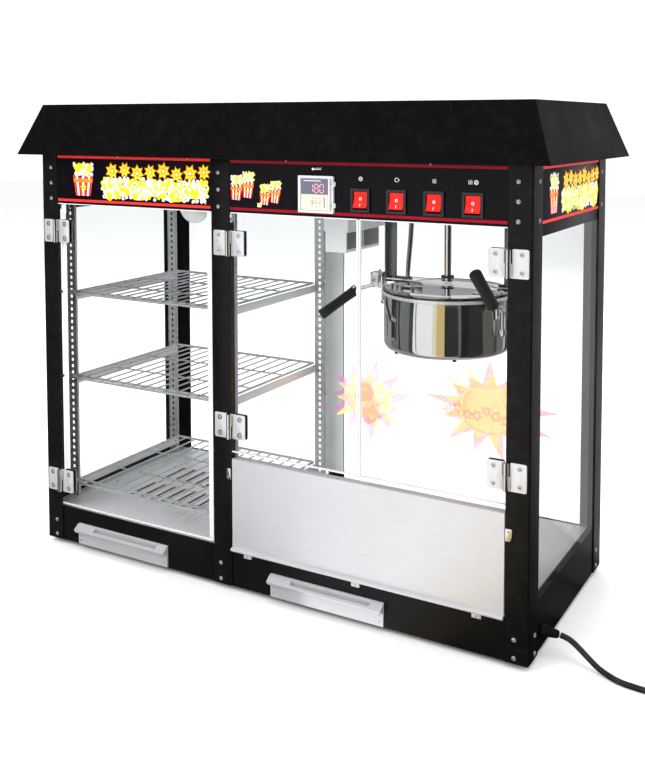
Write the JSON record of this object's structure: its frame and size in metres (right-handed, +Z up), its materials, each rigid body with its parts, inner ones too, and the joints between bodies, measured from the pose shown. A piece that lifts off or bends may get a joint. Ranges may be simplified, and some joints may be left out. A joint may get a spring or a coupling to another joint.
{
  "type": "popcorn maker",
  "caption": "Countertop popcorn maker with a tilting kettle in a glazed cabinet beside a glazed warming display with wire shelves, under a hipped black roof.",
  "frame": {"origin": "on the floor under the middle of the cabinet", "axes": "+Z up, +X to the right of a person who faces the doors, -Y the front"},
  "size_m": [1.2173, 0.425, 0.784],
  "materials": {
    "black_paint": "semi-matte powder coat",
    "fascia": "glossy screen-printed sheet",
    "rubber": "matt",
    "zinc": "zinc-plated, satin",
    "stainless": "fine brushed",
    "glass": "clear tempered glass",
    "polished": "mirror polished stainless steel",
    "chrome": "polished plate",
    "lamp_glass": "opal",
    "white_paint": "satin white",
    "grey_plastic": "fine texture",
    "red_plastic": "translucent glossy",
    "black_plastic": "fine texture",
    "cord": "smooth PVC jacket"
  },
  "bodies": {
    "cabinet": {"base_housing": "black_paint", "post_front_left": "black_paint", "post_front_middle": "black_paint", "post_front_right": "black_paint", "post_rear_left": "black_paint", "post_rear_middle": "black_paint", "post_rear_right": "black_paint", "header_housing": "black_paint", "roof": "black_paint", "fascia_left": "fascia", "control_panel": "fascia", "foot_front_left": "rubber", "foot_rear_left": "rubber", "foot_front_right": "rubber", "foot_rear_right": "rubber", "floor_plate_left": "zinc", "shelf_frame_left": "zinc", "shelf_frame_right": "zinc", "shelf_lower": "zinc", "shelf_middle": "zinc", "shelf_upper": "zinc", "drive_motor": "zinc", "heater_conduit": "zinc", "floor_plate_right": "stainless", "side_glass_left": "glass", "side_glass_right": "glass", "back_glass": "glass", "partition_glass": "glass", "kettle_hanger": "polished", "show_lamp": "lamp_glass", "cabinet_lamp": "white_paint", "temperature_controller": "grey_plastic", "cable_gland": "black_plastic", "plug": "black_plastic", "power_cord": "cord", "cord_coil": "cord"},
    "door_left": {"door_glass_left": "glass", "hinge_leaf_left_lower": "chrome", "hinge_leaf_left_upper": "chrome"},
    "door_centre": {"door_glass_centre": "glass", "hinge_leaf_centre_lower": "chrome", "hinge_leaf_centre_upper": "chrome"},
    "door_right": {"door_glass_right": "glass", "hinge_leaf_right_lower": "chrome", "hinge_leaf_right_upper": "chrome"},
    "flap": {"front_flap": "stainless"},
    "drawer_left": {"drawer_left": "stainless"},
    "drawer_right": {"drawer_right": "stainless"},
    "drive_shaft": {"drive_shaft": "polished"},
    "kettle": {"kettle_pot": "polished", "kettle_lid_rear": "polished", "kettle_handle_left": "black_plastic", "kettle_handle_right": "black_plastic", "heating_element": "stainless"},
    "lid_front": {"kettle_lid_front": "polished"},
    "agitator": {"agitator": "stainless"},
    "rocker_1": {"rocker_1": "red_plastic"},
    "rocker_2": {"rocker_2": "red_plastic"},
    "rocker_3": {"rocker_3": "red_plastic"},
    "rocker_4": {"rocker_4": "red_plastic"}
  },
  "joints": [
    {"name": "door_left_hinge", "type": "hinge", "parent": "cabinet", "child": "door_left", "pos_m": [-0.4165, -0.1896, 0.34], "axis": [0, 0, -1], "range_deg": [0, 110]},
    {"name": "door_centre_hinge", "type": "hinge", "parent": "cabinet", "child": "door_centre", "pos_m": [-0.0465, -0.1896, 0.417], "axis": [0, 0, -1], "range_deg": [0, 110]},
    {"name": "door_right_hinge", "type": "hinge", "parent": "cabinet", "child": "door_right", "pos_m": [0.4165, -0.1896, 0.417], "axis": [0, 0, 1], "range_deg": [0, 110]},
    {"name": "flap_hinge", "type": "hinge", "parent": "cabinet", "child": "flap", "pos_m": [0.185, -0.1881, 0.07], "axis": [1, 0, 0], "range_deg": [0, 90]},
    {"name": "drawer_left_slide", "type": "slide", "parent": "cabinet", "child": "drawer_left", "axis": [0, -1, 0], "range_m": [0, 0.25]},
    {"name": "drawer_right_slide", "type": "slide", "parent": "cabinet", "child": "drawer_right", "axis": [0, -1, 0], "range_m": [0, 0.25]},
    {"name": "drive_shaft_spin", "type": "hinge", "parent": "cabinet", "child": "drive_shaft", "pos_m": [0.24775, 0, 0.55], "axis": [0, 0, 1], "continuous": true},
    {"name": "kettle_tilt", "type": "hinge", "parent": "cabinet", "child": "kettle", "pos_m": [0.24775, 0, 0.497], "axis": [1, 0, 0], "range_deg": [0, 75], "deforming": ["heater_conduit"]},
    {"name": "lid_front_hinge", "type": "hinge", "parent": "kettle", "child": "lid_front", "pos_m": [0.24775, -0.0143, 0.4887], "axis": [-1, 0, 0], "range_deg": [0, 85]},
    {"name": "agitator_spin", "type": "hinge", "parent": "kettle", "child": "agitator", "pos_m": [0.24775, 0, 0.43], "axis": [0, 0, 1], "continuous": true},
    {"name": "rocker_1_tilt", "type": "hinge", "parent": "cabinet", "child": "rocker_1", "pos_m": [0.189, -0.181, 0.6395], "axis": [1, 0, 0], "range_deg": [0, 16]},
    {"name": "rocker_2_tilt", "type": "hinge", "parent": "cabinet", "child": "rocker_2", "pos_m": [0.2474, -0.181, 0.6395], "axis": [1, 0, 0], "range_deg": [0, 16]},
    {"name": "rocker_3_tilt", "type": "hinge", "parent": "cabinet", "child": "rocker_3", "pos_m": [0.3058, -0.181, 0.6395], "axis": [1, 0, 0], "range_deg": [0, 16]},
    {"name": "rocker_4_tilt", "type": "hinge", "parent": "cabinet", "child": "rocker_4", "pos_m": [0.3642, -0.181, 0.6395], "axis": [1, 0, 0], "range_deg": [0, 16]}
  ],
  "couplings": [
    {"joint": "agitator_spin", "follows": "drive_shaft_spin", "ratio": 1}
  ]
}
